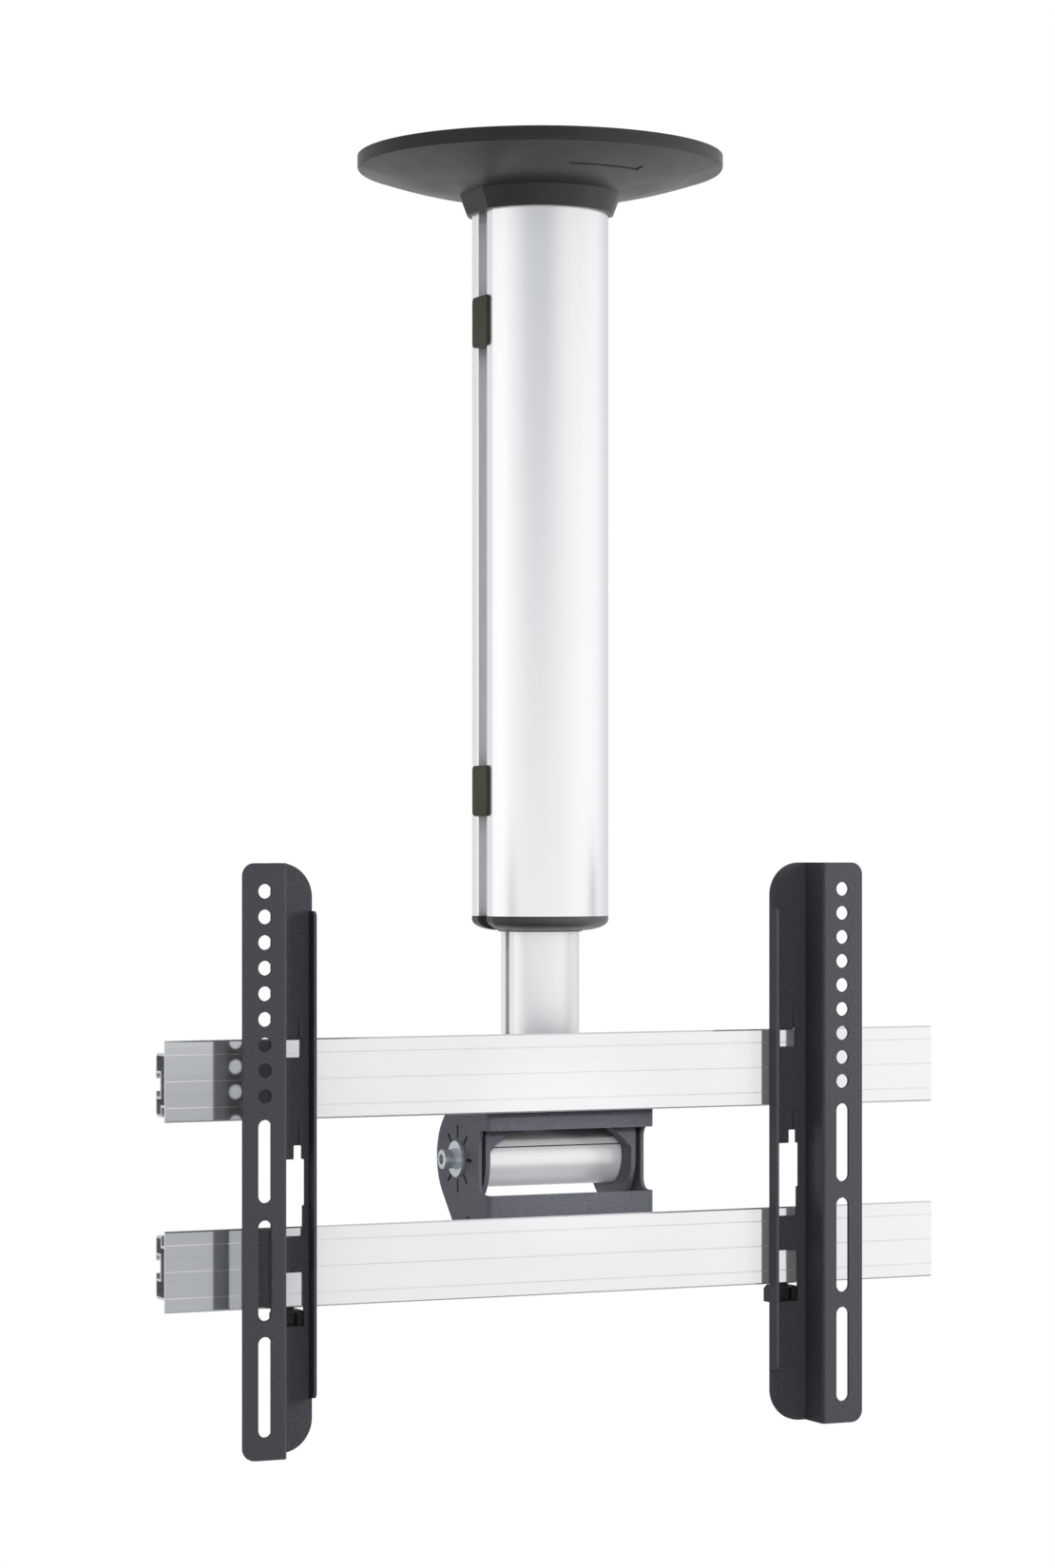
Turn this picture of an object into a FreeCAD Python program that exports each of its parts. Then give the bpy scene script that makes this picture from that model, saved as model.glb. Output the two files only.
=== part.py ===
import FreeCAD, Part
import math
import os

import Sketcher

# Telescopic ceiling mount for a television, in millimetres.
# The origin is the centre of the ceiling face, +Z is up and the front is -Y.
# Pieces of the tilt head are drawn about the tilt axis and hung from the ceiling by their Placement.

SIZES = [
    ("axis_drop", 835, "ceiling face to tilt axis"),
    ("slip_gap", 0.3, "gap between pieces that slide or seat loosely"),
    ("pin_gap", 0.05, "radial clearance of a bolt in its hole"),
    ("face_gap", 0.1, "gap between flat faces that turn on each other"),
    ("plate_width", 220, "diameter of the ceiling plate"),
    ("plate_thick", 6, "thickness of the ceiling plate"),
    ("plate_circle", 180, "circle of the ceiling holes"),
    ("plate_hole", 11, "diameter of the ceiling holes"),
    ("plate_cable_hole", 50, "cable hole in the ceiling plate"),
    ("cover_width", 305.4, "diameter of the ceiling cover"),
    ("cover_rim", 11.5, "height of the cover's rim"),
    ("cover_wall", 2.5, "wall of the cover"),
    ("cover_edge", 3, "rounding of the rim's lower edge"),
    ("recess_inset", 34, "rim to the bare recess"),
    ("recess_width", 8.5, "width of the bare recess"),
    ("recess_depth", 0.8, "depth of the bare recess"),
    ("cover_depth", 33, "ceiling to the top of the collar"),
    ("collar_height", 16, "height of the collar"),
    ("collar_top", 11, "collar beyond the column at its top"),
    ("collar_foot", 4, "collar beyond the column at its foot"),
    ("column_width", 114, "diameter of the outer column"),
    ("column_flats", 106, "across the flat sides of the outer column"),
    ("column_wall", 4, "wall of the outer column"),
    ("column_length", 628, "length of the outer column"),
    ("groove_mouth", 18, "mouth of the cable groove"),
    ("groove_lip", 2.5, "lip beside the groove's mouth"),
    ("groove_width", 28, "width inside the cable groove"),
    ("groove_depth", 14, "depth of the cable groove from the flat"),
    ("groove_wall", 3, "wall around the cable groove"),
    ("groove_edge", 1.2, "rounding of the groove's mouth"),
    ("port_offset", 33, "screw ports from the middle, each way"),
    ("port_bore", 8, "bore of a screw port"),
    ("port_wall", 2.5, "wall around a screw port"),
    ("port_screw_length", 30, "length of the column screws"),
    ("port_socket", 5, "hex socket of the column screws"),
    ("port_head_width", 13.5, "head of the column screws"),
    ("port_head_height", 4, "height of the column screws' head"),
    ("cap_wall", 3, "upright wall of the end cap"),
    ("cap_dome", 9, "height of the end cap's dome"),
    ("cap_nose", 1, "flat ring under the end cap"),
    ("cap_ring", 2.5, "width of the ring around the inner column"),
    ("cap_spigot", 8, "end cap inside the column"),
    ("cap_notch", 12.5, "depth of the cable notch in the end cap"),
    ("bush_length", 60, "length of the lower guide bush"),
    ("inner_width", 65.4, "diameter of the inner column"),
    ("inner_flats", 60, "across the flat sides of the inner column"),
    ("inner_wall", 3, "wall of the inner column"),
    ("inner_length", 540, "length of the inner column"),
    ("slit_mouth", 7.4, "mouth of the inner column's groove"),
    ("slit_lip", 2, "lip of the inner column's groove"),
    ("slit_width", 13, "width inside the inner column's groove"),
    ("slit_depth", 8, "depth of the inner column's groove"),
    ("slit_wall", 2.5, "wall around the inner column's groove"),
    ("guide_height", 16, "height of the upper guide block"),
    ("guide_spigot", 20, "guide block inside the inner column"),
    ("guide_bore", 30, "cable bore of the upper guide block"),
    ("lock_bore", 8, "diameter of the lock screws"),
    ("lock_level", 597, "ceiling to the upper lock screw"),
    ("lock_pitch", 20, "distance between the lock screws"),
    ("lock_proud", 3, "lock screw beyond the column"),
    ("lock_socket", 4, "hex socket of the lock screw"),
    ("clip_height", 42, "height of a cable clip"),
    ("clip_width", 31, "width of a cable clip"),
    ("clip_thick", 2.5, "thickness of a cable clip"),
    ("clip_corner", 4, "corner rounding of a cable clip"),
    ("clip_edge", 1, "rounding of a cable clip's outer edge"),
    ("clip_foot", 24, "width of the clip's foot behind the lips"),
    ("clip_upper", 140, "ceiling to the middle of the upper clip"),
    ("clip_lower", 530, "ceiling to the middle of the lower clip"),
    ("plug_flange", 5, "flange of the swivel plug"),
    ("plug_length", 30, "swivel plug inside the inner column"),
    ("swivel_bolt", 12, "diameter of the swivel bolt"),
    ("swivel_head", 19, "head of the swivel bolt"),
    ("swivel_head_height", 7, "height of the swivel bolt's head"),
    ("swivel_socket", 8, "hex socket of the swivel bolt"),
    ("swivel_washer_width", 56, "diameter of the swivel washer"),
    ("swivel_washer_thick", 2, "thickness of the swivel washer"),
    ("yoke_radius", 42, "radius of the yoke's cheeks about the tilt axis"),
    ("yoke_top", 52, "tilt axis to the top of the yoke"),
    ("yoke_cheek", 4, "thickness of the yoke's cheeks"),
    ("yoke_roof", 6, "thickness of the yoke's top"),
    ("yoke_rib", 16, "depth of the yoke's front and back arches"),
    ("arch_top", 26, "tilt axis to the top of the arch"),
    ("arch_half", 43.5, "half width of the arch's top"),
    ("arch_foot", 8, "tilt axis to the foot of the arch"),
    ("arch_radius", 70, "radius of the arch's corners"),
    ("vent_width", 2.5, "small slots in the yoke's cheeks"),
    ("vent_pitch", 7, "pitch of the small slots"),
    ("vent_top", 19, "tilt axis to the top of the small slots"),
    ("vent_height", 6.5, "height of the small slots"),
    ("bar_width", 48, "diameter of the cross bar"),
    ("bar_ridge", 7, "ridge of the cross bar above the axis"),
    ("bar_flat", 5, "half width of the cross bar's top"),
    ("bar_bore", 30, "depth of the tapped hole in the bar's end"),
    ("tilt_bolt", 10, "diameter of the tilt bolt"),
    ("tilt_bolt_grip", 18, "tilt bolt inside the cross bar"),
    ("tilt_head", 16, "head of the tilt bolt"),
    ("tilt_head_edge", 0.8, "rounding of the tilt bolt's head"),
    ("tilt_head_height", 10, "height of the tilt bolt's head"),
    ("tilt_socket", 8, "hex socket of the tilt bolt"),
    ("tilt_socket_depth", 5, "depth of the hex socket"),
    ("spring_washer_width", 18, "diameter of the spring washer"),
    ("spring_washer_thick", 2.2, "thickness of the spring washer"),
    ("spring_washer_cut", 2, "cut in the spring washer"),
    ("washer_width", 30, "diameter of the tilt washer"),
    ("washer_thick", 2.5, "thickness of the tilt washer"),
    ("disc_width", 36, "diameter of the friction disc"),
    ("cheek_gap", 4, "yoke's cheek to bracket's cheek, filled by the friction disc"),
    ("bracket_width", 150.5, "width over the bracket's cheeks"),
    ("bracket_sheet", 3, "sheet of the bracket"),
    ("bracket_bend", 4, "outer bend radius of the bracket"),
    ("bracket_height", 190, "height of the bracket's front plate"),
    ("bracket_reach", 63, "tilt axis to the bracket's front face"),
    ("bracket_shelf", 34, "depth of the bracket's upper and lower edge"),
    ("cheek_radius", 43.5, "radius of the bracket's cheeks about the axis"),
    ("window_height", 53, "height of the bracket's window"),
    ("window_wrap", 20, "window's reach into the cheeks"),
    ("window_corner", 9, "corner rounding of the window"),
    ("scale_inner", 17, "inner end of the tilt scale's slits"),
    ("scale_outer", 28, "outer end of the tilt scale's slits"),
    ("scale_slit", 3, "width of the tilt scale's slits"),
    ("scale_count", 8, "number of slits in the tilt scale"),
    ("peg_hole", 6, "small hole in the bracket's cheek"),
    ("peg_level", 48.5, "small hole above and below the axis"),
    ("peg_forward", 21, "small hole in front of the axis"),
    ("rail_length", 688, "length of a rail"),
    ("rail_shift", -17, "middle of the rails from the column"),
    ("rail_offset", 74.5, "tilt axis to the middle of a rail"),
    ("rail_height", 64, "height of the rail's front wall"),
    ("rail_depth", 22, "depth of the rail"),
    ("rail_skin", 2.5, "front wall of the rail"),
    ("rail_wall", 2, "other walls of the rail"),
    ("rail_hook", 10, "front wall beyond the body on the hook side"),
    ("rail_brow", 4, "front wall beyond the body on the other side"),
    ("rail_bevel", 1.2, "bevel of the front wall's ends"),
    ("rail_corner", 3, "chamfer of the rail's rear corners"),
    ("rail_line_depth", 0.5, "depth of the fine lines on the rail"),
    ("rail_line_width", 1, "width of the fine lines on the rail"),
    ("slot_mouth", 10, "mouth of the rail's slot"),
    ("slot_width", 18, "width inside the rail's slot"),
    ("slot_room", 8, "depth inside the rail's slot"),
    ("channel_width", 6.5, "small channel behind the front wall"),
    ("channel_height", 7.5, "height of the small channel"),
    ("rail_bolt", 8, "diameter of the rail bolts"),
    ("rail_bolt_head", 14, "head of the rail bolts"),
    ("rail_bolt_head_height", 5, "height of the rail bolts' head"),
    ("rail_bolt_length", 11, "rail bolt in front of its head"),
    ("rail_bolt_spread", 45, "rail bolts from the middle of the bracket"),
    ("nut_length", 20, "length of the slot nuts"),
    ("nut_thick", 5, "thickness of the slot nuts"),
    ("arm_left", -290.5, "hole line of the left arm from the column"),
    ("arm_right", 222.5, "hole line of the right arm from the column"),
    ("arm_height", 466.5, "height of an arm"),
    ("arm_above", 245.5, "tilt axis to the top of an arm"),
    ("arm_sheet", 2.5, "sheet of the arms"),
    ("arm_bend", 3, "outer bend radius of the arms"),
    ("arm_flange", 37, "width of the arm's front flange"),
    ("arm_depth", 33.5, "depth of the arm over its flanges"),
    ("arm_plate", 32.8, "rear plate beyond the web"),
    ("arm_corner", 10, "corner rounding of the front flange"),
    ("arm_shoulder", 27, "corner rounding of the rear plate"),
    ("lip_depth", 13, "depth of the lip"),
    ("lip_top", 38, "top of the arm to the lip"),
    ("lip_foot", 43, "foot of the lip to the foot of the arm"),
    ("lip_corner", 5, "corner rounding of the lip"),
    ("hole_width", 11.5, "diameter of the screen holes"),
    ("hole_first", 22, "top of the arm to the first hole"),
    ("hole_pitch", 20, "pitch of the screen holes"),
    ("slot_one_top", 200.5, "top of the arm to the first slot"),
    ("slot_one_length", 65, "length of the first slot"),
    ("slot_two_top", 279, "top of the arm to the second slot"),
    ("slot_two_length", 78.5, "length of the second slot"),
    ("slot_three_top", 370, "top of the arm to the third slot"),
    ("slot_three_length", 78.5, "length of the third slot"),
    ("window_middle", 16.5, "web face to the middle of the arm's windows"),
    ("hook_width", 15, "width of the hook and its window"),
    ("hook_window", 15, "height of the window under the hook"),
    ("hook_drop", 7.5, "hook behind the rail's front wall"),
    ("view_width", 20.5, "width of the arm's middle window"),
    ("view_top", 11, "tilt axis to the middle window's top"),
    ("view_foot", 50, "tilt axis to the middle window's foot"),
    ("view_corner", 0.8, "corner rounding of the arm's windows"),
    ("notch_width", 7, "width of the notch over the middle window"),
    ("notch_height", 11, "height of the notch"),
    ("notch_shift", 4.3, "notch from the window's middle"),
    ("view_step", 1.7, "middle window is narrower below its step"),
    ("view_step_level", 25.6, "tilt axis to the middle window's step"),
    ("ramp_width", 4.4, "width of the pressed ramps"),
    ("ramp_height", 24, "height of the pressed ramps"),
    ("ramp_rise", 2.2, "rise of the pressed ramps"),
    ("ramp_shift", 7, "ramp from the window's middle"),
    ("latch_window_width", 19, "width of the latch window"),
    ("latch_window_top", 78.5, "tilt axis to the latch window's top"),
    ("latch_window_foot", 121.5, "tilt axis to the latch window's foot"),
    ("latch_width", 24, "width of a latch"),
    ("latch_depth", 18, "depth of a latch"),
    ("latch_height", 14, "height of the latch's block"),
    ("latch_gap", 2.2, "gap between the latch's block and the rail"),
    ("latch_chamfer", 3, "chamfer of the latch's upper corners"),
    ("latch_tongue", 4, "thickness of the latch's tongue"),
    ("latch_shoulder", 9, "latch's tongue to the right side of its block"),
    ("latch_grip", 8, "latch's tongue behind the rail's front wall"),
    ("latch_stem", 14, "width of the latch's stem"),
    ("latch_stem_length", 31, "length of the latch's stem"),
    ("latch_stem_thick", 5, "thickness of the latch's stem"),
    ("latch_travel", 9, "travel of the latch"),
    ("latch_hole", 9.5, "width and height of the recess in the latch's block"),
    ("latch_recess", 4, "depth of the recess"),
    ("latch_screw", 6, "diameter of the latch stud"),
    ("latch_screw_head", 12, "head of the latch stud"),
    ("latch_screw_head_height", 3.3, "height of the latch stud's head"),
    ("latch_screw_level", 22.5, "foot of the latch's block to its stud"),
]

# Ratio of the half diagonal of a square to its half side, the other way up.
DIAGONAL = math.sqrt(0.5)
SCREEN_HOLES = 9
# Outlines that a dome is drawn through.
DOME_STEPS = 4
# Reach of the bare recess either side of the front, in degrees.
RECESS_REACH = (20.9, 12.4)
# Fine lines on the rail, as parts of the height of its front wall.
RAIL_LINES = (-0.325, 0, 0.325)

doc = FreeCAD.newDocument("tv_ceiling_mount")
sheet = doc.addObject("Spreadsheet::Sheet", "Sizes")
for row, (alias, size, note) in enumerate(SIZES, 1):
    sheet.set("A%d" % row, alias)
    sheet.set("B%d" % row, str(size))
    sheet.set("C%d" % row, note)
    sheet.setAlias("B%d" % row, alias)
doc.recompute()


class Formula:
    """A length that knows its value and the sheet expression that gives it."""

    def __init__(self, value, text):
        self.value = float(value)
        self.text = text

    def combine(self, sign, other, value, swapped=False):
        left, right = self.text, text_of(other)
        if swapped:
            left, right = right, left
        return Formula(value, "(%s %s %s)" % (left, sign, right))

    def __add__(self, other):
        return self.combine("+", other, self.value + value_of(other))

    __radd__ = __add__

    def __sub__(self, other):
        return self.combine("-", other, self.value - value_of(other))

    def __rsub__(self, other):
        return self.combine("-", other, value_of(other) - self.value, True)

    def __mul__(self, other):
        return self.combine("*", other, self.value * value_of(other))

    __rmul__ = __mul__

    def __truediv__(self, other):
        return self.combine("/", other, self.value / value_of(other))

    def __neg__(self):
        return Formula(-self.value, "(0 - %s)" % self.text)


def value_of(item):
    return item.value if isinstance(item, Formula) else float(item)


def text_of(item):
    return item.text if isinstance(item, Formula) else "(%r)" % float(item)


def root(item):
    return Formula(math.sqrt(item.value), "sqrt(%s)" % item.text)


class Dimensions:
    """Gives each cell of the sheet as a formula, by its alias."""

    def __getattr__(self, alias):
        return Formula(getattr(sheet, alias), "Sizes." + alias)


d = Dimensions()
parts = []


def bind(item, path, length):
    """Ties a property to the sheet."""
    item.setExpression(path, text_of(length))


def new_body(label, drop=None, ahead=None, across=None):
    """Starts a piece. drop, ahead and across place its frame below, before and beside the origin."""
    body = doc.addObject("PartDesign::Body", label)
    body.Label = label
    body.AllowCompound = True
    for path, length in (("z", drop), ("y", ahead), ("x", across)):
        if length is not None:
            sign = 1 if path == "x" else -1
            bind(body, "Placement.Base." + path, length * sign)
    parts.append(body)
    return body


def new_sketch(body, name, plane, offset):
    """A sketch on one of the body's own planes, moved along the plane's normal."""
    sketch = body.newObject("Sketcher::SketchObject", "%s_%s" % (body.Label, name))
    support = [item for item in body.Origin.OriginFeatures if item.Role == plane + "_Plane"][0]
    sketch.AttachmentSupport = [(support, "")]
    sketch.MapMode = "FlatFace"
    bind(sketch, "AttachmentOffset.Base.z", offset)
    return sketch


def pin(sketch, curve, end, x, y):
    """Holds an end or centre of a curve at x and y of the sketch."""
    for axis, length in (("DistanceX", x), ("DistanceY", y)):
        rule = sketch.addConstraint(Sketcher.Constraint(axis, -1, 1, curve, end, value_of(length)))
        bind(sketch, "Constraints[%d]" % rule, length)


def set_radius(sketch, curve, radius):
    rule = sketch.addConstraint(Sketcher.Constraint("Radius", curve, value_of(radius)))
    bind(sketch, "Constraints[%d]" % rule, radius)


def circle(x, y, radius):
    def draw(sketch):
        middle = FreeCAD.Vector(value_of(x), value_of(y), 0)
        up = FreeCAD.Vector(0, 0, 1)
        curve = sketch.addGeometry(Part.Circle(middle, up, value_of(radius)), False)
        pin(sketch, curve, 3, x, y)
        set_radius(sketch, curve, radius)
    return draw


def slot(x, low, high, radius):
    """An upright slot whose round ends are centred at low and high."""
    def draw(sketch):
        across, r = value_of(x), value_of(radius)
        bottom = FreeCAD.Vector(across, value_of(low), 0)
        top = FreeCAD.Vector(across, value_of(high), 0)
        side = FreeCAD.Vector(r, 0, 0)
        rise = FreeCAD.Vector(0, r, 0)
        curves = [
            Part.LineSegment(bottom + side, top + side),
            Part.Arc(top + side, top + rise, top - side),
            Part.LineSegment(top - side, bottom - side),
            Part.Arc(bottom - side, bottom - rise, bottom + side),
        ]
        ids = [sketch.addGeometry(curve, False) for curve in curves]
        for number, curve in enumerate(ids):
            following = ids[(number + 1) % len(ids)]
            sketch.addConstraint(Sketcher.Constraint("Tangent", curve, 2, following, 1))
        pin(sketch, ids[1], 3, x, high)
        pin(sketch, ids[3], 3, x, low)
        set_radius(sketch, ids[1], radius)
    return draw


def path(*corners):
    """A closed outline, counter-clockwise. A corner is (x, y).

    It adds "arc", radius where an arc bows out to the next corner, or "hollow", radius where one bows in.
    """
    def draw(sketch):
        places = [FreeCAD.Vector(value_of(c[0]), value_of(c[1]), 0) for c in corners]
        ids, ends = [], []
        for number, corner in enumerate(corners):
            start, stop = places[number], places[(number + 1) % len(places)]
            if len(corner) == 2:
                ids.append(sketch.addGeometry(Part.LineSegment(start, stop), False))
                ends.append((1, 2))
                continue
            outward_arc = corner[2] == "arc"
            chord = stop - start
            radius = value_of(corner[3])
            rise = radius - math.sqrt(radius ** 2 - (chord.Length / 2) ** 2)
            outward = FreeCAD.Vector(chord.y, -chord.x, 0).normalize()
            if outward_arc:
                arc = Part.Arc(start, (start + stop) * 0.5 + outward * rise, stop)
            else:
                arc = Part.Arc(stop, (start + stop) * 0.5 - outward * rise, start)
            ids.append(sketch.addGeometry(arc, False))
            made = sketch.Geometry[ids[-1]]
            forward = made.StartPoint.distanceToPoint(start) < made.EndPoint.distanceToPoint(start)
            ends.append((1, 2) if forward else (2, 1))
            set_radius(sketch, ids[-1], corner[3])
        for number, corner in enumerate(corners):
            before = number - 1
            sketch.addConstraint(Sketcher.Constraint(
                "Coincident", ids[before], ends[before][1], ids[number], ends[number][0]))
            pin(sketch, ids[number], ends[number][0], corner[0], corner[1])
    return draw


def box(left, right, low, high):
    return path((left, low), (right, low), (right, high), (left, high))


def hexagon(x, y, across_flats):
    """A hexagon with two upright sides."""
    half = across_flats / 2
    point = across_flats / math.sqrt(3)
    return path(
        (x + half, y - point / 2), (x + half, y + point / 2), (x, y + point),
        (x - half, y + point / 2), (x - half, y - point / 2), (x, y - point))


def flat_sided(radius, half_flats):
    """The columns' section: a circle cut by two flats that face left and right."""
    rise = root(radius * radius - half_flats * half_flats)
    return path(
        (half_flats, -rise), (half_flats, rise, "arc", radius),
        (-half_flats, rise), (-half_flats, -rise, "arc", radius))


def draw_all(sketch, outlines):
    for outline in outlines:
        outline(sketch)


def extrude(body, kind, name, plane, low, high, *outlines):
    """Pads or pockets outlines between low and high along the plane's axis."""
    before = body.Shape.Volume if body.Tip else 0
    facing_back = plane == "XZ"
    sketch = new_sketch(body, name, plane, -high if facing_back else low)
    draw_all(sketch, outlines)
    feature = body.newObject("PartDesign::" + kind, "%s_%s_%s" % (body.Label, name, kind.lower()))
    feature.Profile = sketch
    bind(feature, "Length", high - low)
    feature.Reversed = kind == "Pocket"
    body.Tip = feature
    doc.recompute()
    change = body.Shape.Volume - before
    if (change <= 0) if kind == "Pad" else (change >= 0):
        raise ValueError("%s changes nothing" % feature.Name)
    return feature


def pad(body, name, plane, low, high, *outlines):
    return extrude(body, "Pad", name, plane, low, high, *outlines)


def pocket(body, name, plane, low, high, *outlines):
    return extrude(body, "Pocket", name, plane, low, high, *outlines)


def turn(body, name, *outlines):
    """Turns outlines of the XZ plane about the body's Z axis."""
    sketch = new_sketch(body, name, "XZ", 0)
    draw_all(sketch, outlines)
    feature = body.newObject("PartDesign::Revolution", "%s_%s_turned" % (body.Label, name))
    feature.Profile = sketch
    feature.ReferenceAxis = (sketch, ["V_Axis"])
    feature.Angle = 360
    body.Tip = feature
    doc.recompute()
    return feature


def loft(body, kind, name, levels, smooth=False):
    """Lofts through outlines at their levels along Z. kind is AdditiveLoft or SubtractiveLoft."""
    sketches = []
    for number, (level, outline) in enumerate(levels):
        sketch = new_sketch(body, "%s_%d" % (name, number), "XY", level)
        outline(sketch)
        sketches.append(sketch)
    feature = body.newObject("PartDesign::" + kind, "%s_%s_loft" % (body.Label, name))
    feature.Profile = sketches[0]
    feature.Sections = sketches[1:]
    feature.Ruled = not smooth
    body.Tip = feature
    doc.recompute()
    return feature


def ease(body, kind, name, size, wanted):
    """Fillets or chamfers the edges that wanted picks, by its test of an edge."""
    base = body.Tip
    names = ["Edge%d" % (number + 1) for number, edge in enumerate(base.Shape.Edges) if wanted(edge)]
    feature = body.newObject("PartDesign::" + kind, "%s_%s" % (body.Label, name))
    feature.Base = (base, names)
    bind(feature, "Radius" if kind == "Fillet" else "Size", size)
    body.Tip = feature
    doc.recompute()
    return feature


def runs_along(edge, axis):
    """True for a straight edge along x, y or z."""
    if not isinstance(edge.Curve, Part.Line):
        return False
    return abs(getattr(edge.Curve.Direction, axis)) > 0.999


def near(edge, **places):
    """True for an edge whose middle lies at the given coordinates, either side of the origin."""
    middle = edge.CenterOfMass
    return all(abs(abs(getattr(middle, axis)) - abs(value_of(place))) < 0.05
               for axis, place in places.items())


# Levels below the ceiling, and sections that several pieces share.
column_high = -d.plate_thick
column_low = column_high - d.column_length
column_radius = d.column_width / 2
column_flat = d.column_flats / 2
hollow_flat = column_flat - d.groove_depth - d.groove_wall
inner_radius = d.inner_width / 2
inner_flat = d.inner_flats / 2
inner_hollow_radius = inner_radius - d.inner_wall
inner_hollow_flat = inner_flat - d.slit_depth - d.slit_wall
port_radius = d.port_bore / 2
guide_radius = d.port_offset / DIAGONAL - port_radius - d.port_wall - d.slip_gap
guide_flat = hollow_flat - d.slip_gap
inner_low = -d.axis_drop + d.yoke_top + d.swivel_washer_thick + d.face_gap + d.plug_flange
inner_high = inner_low + d.inner_length
bush_low = column_low + d.cap_spigot
port_places = [(d.port_offset * across, d.port_offset * along) for across in (-1, 1) for along in (-1, 1)]
lock_levels = [-d.lock_level, -d.lock_level - d.lock_pitch]
bracket_half = d.bracket_width / 2
bracket_inside = bracket_half - d.bracket_sheet
yoke_half = bracket_inside - d.cheek_gap
yoke_inside = yoke_half - d.yoke_cheek
tilt_pin = d.tilt_bolt / 2
tilt_hole = tilt_pin + d.pin_gap
rail_face = d.bracket_reach + d.rail_depth
slot_level = (d.rail_hook - d.rail_brow) / 2
arm_back = rail_face + d.slip_gap


def cable_groove(side, mouth, lip, width, depth, flat):
    """Corners of a groove in a flat side, upwards on the right and downwards on the left."""
    steps = [(flat, mouth / 2), (flat - lip, mouth / 2), (flat - lip, width / 2), (flat - depth, width / 2)]
    lower = [(x * side, -y * side) for x, y in steps]
    upper = [(x * side, y * side) for x, y in reversed(steps)]
    return lower + upper


def grooved(radius, flat, mouth, lip, width, depth):
    """The columns' section with a groove in each flat."""
    rise = root(radius * radius - flat * flat)
    groove = (mouth, lip, width, depth, flat)
    return path(
        (flat, -rise), *cable_groove(1, *groove), (flat, rise, "arc", radius),
        (-flat, rise), *cable_groove(-1, *groove), (-flat, -rise, "arc", radius))


def make_ceiling_plate():
    body = new_body("ceiling_plate")
    pad(body, "disc", "XY", -d.plate_thick, 0, circle(0, 0, d.plate_width / 2))
    reach = d.plate_circle / 2 * DIAGONAL
    corners = [(reach * across, reach * along) for across in (-1, 1) for along in (-1, 1)]
    holes = [circle(x, y, d.plate_hole / 2) for x, y in corners]
    screws = [circle(x, y, port_radius + d.slip_gap) for x, y in port_places]
    middle = circle(0, 0, d.plate_cable_hole / 2)
    pocket(body, "holes", "XY", -d.plate_thick, 0, middle, *holes, *screws)
    sinks = [circle(x, y, d.port_head_width / 2 + d.slip_gap) for x, y in port_places]
    pocket(body, "sinks", "XY", -d.port_head_height - d.slip_gap, 0, *sinks)


def make_column_screws():
    body = new_body("column_screws")
    head_top = -d.slip_gap
    head_low = head_top - d.port_head_height
    shank = port_radius - d.pin_gap
    pad(body, "shanks", "XY", -d.port_screw_length, head_low, *[circle(x, y, shank) for x, y in port_places])
    heads = [circle(x, y, d.port_head_width / 2) for x, y in port_places]
    pad(body, "heads", "XY", head_low, head_top, *heads)
    sockets = [hexagon(x, y, d.port_socket) for x, y in port_places]
    pocket(body, "sockets", "XY", head_top - d.port_head_height / 2, head_top, *sockets)


# The dish's underside is part of a sphere centred above the mount, through its rim and the collar's top.
dish_edge = d.cover_width / 2 - d.cover_edge
dish_foot = column_radius + d.collar_foot
dish_centre = ((dish_edge * dish_edge - dish_foot * dish_foot
                + d.cover_rim * d.cover_rim - d.cover_depth * d.cover_depth)
               / ((d.cover_depth - d.cover_rim) * 2))
dish_radius = root(dish_foot * dish_foot + (dish_centre + d.cover_depth) * (dish_centre + d.cover_depth))


def dish_level(radius, inside=0):
    """Level of the dish's underside at a radius, or of the face inside it by the given length."""
    ball = dish_radius - inside
    return dish_centre - root(ball * ball - radius * radius)


def make_ceiling_cover():
    body = new_body("ceiling_cover")
    rim = d.cover_width / 2
    foot_top = -d.cover_depth
    skin = d.cover_wall
    hollow_edge, hollow_foot = rim - skin, dish_foot - skin
    turn(body, "dish", path(
        (rim, 0), (hollow_edge, 0),
        (hollow_edge, dish_level(hollow_edge, skin), "hollow", dish_radius - skin),
        (hollow_foot, dish_level(hollow_foot, skin)), (hollow_foot, foot_top),
        (dish_foot, foot_top, "arc", dish_radius),
        (dish_edge, -d.cover_rim, "arc", d.cover_edge),
        (rim, -d.cover_rim + d.cover_edge)))

    outer = rim - d.recess_inset
    inner = outer - d.recess_width
    sketch = new_sketch(body, "recess", "YZ", 0)
    path((-outer, foot_top - d.cover_rim), (-inner, foot_top - d.cover_rim),
         (-inner, dish_level(inner) + d.recess_depth), (-outer, dish_level(outer) + d.recess_depth))(sketch)
    groove = body.newObject("PartDesign::Groove", "ceiling_cover_recess")
    groove.Profile = sketch
    groove.ReferenceAxis = (sketch, ["V_Axis"])
    groove.Type = "TwoAngles"
    groove.Angle, groove.Angle2 = RECESS_REACH
    body.Tip = groove
    doc.recompute()

    def ring(beyond, level):
        return (level, flat_sided(column_radius + beyond, column_flat + beyond))

    collar_low = foot_top - d.collar_height
    collar_high = foot_top + skin
    loft(body, "AdditiveLoft", "collar", [ring(d.collar_top, collar_high), ring(d.collar_foot, collar_low)])
    loft(body, "SubtractiveLoft", "collar_room", [
        ring(d.collar_top - skin, collar_high), ring(d.collar_foot - skin, collar_low + skin)])
    pocket(body, "column_way", "XY", collar_low, 0,
           flat_sided(column_radius + d.slip_gap, column_flat + d.slip_gap))


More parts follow.
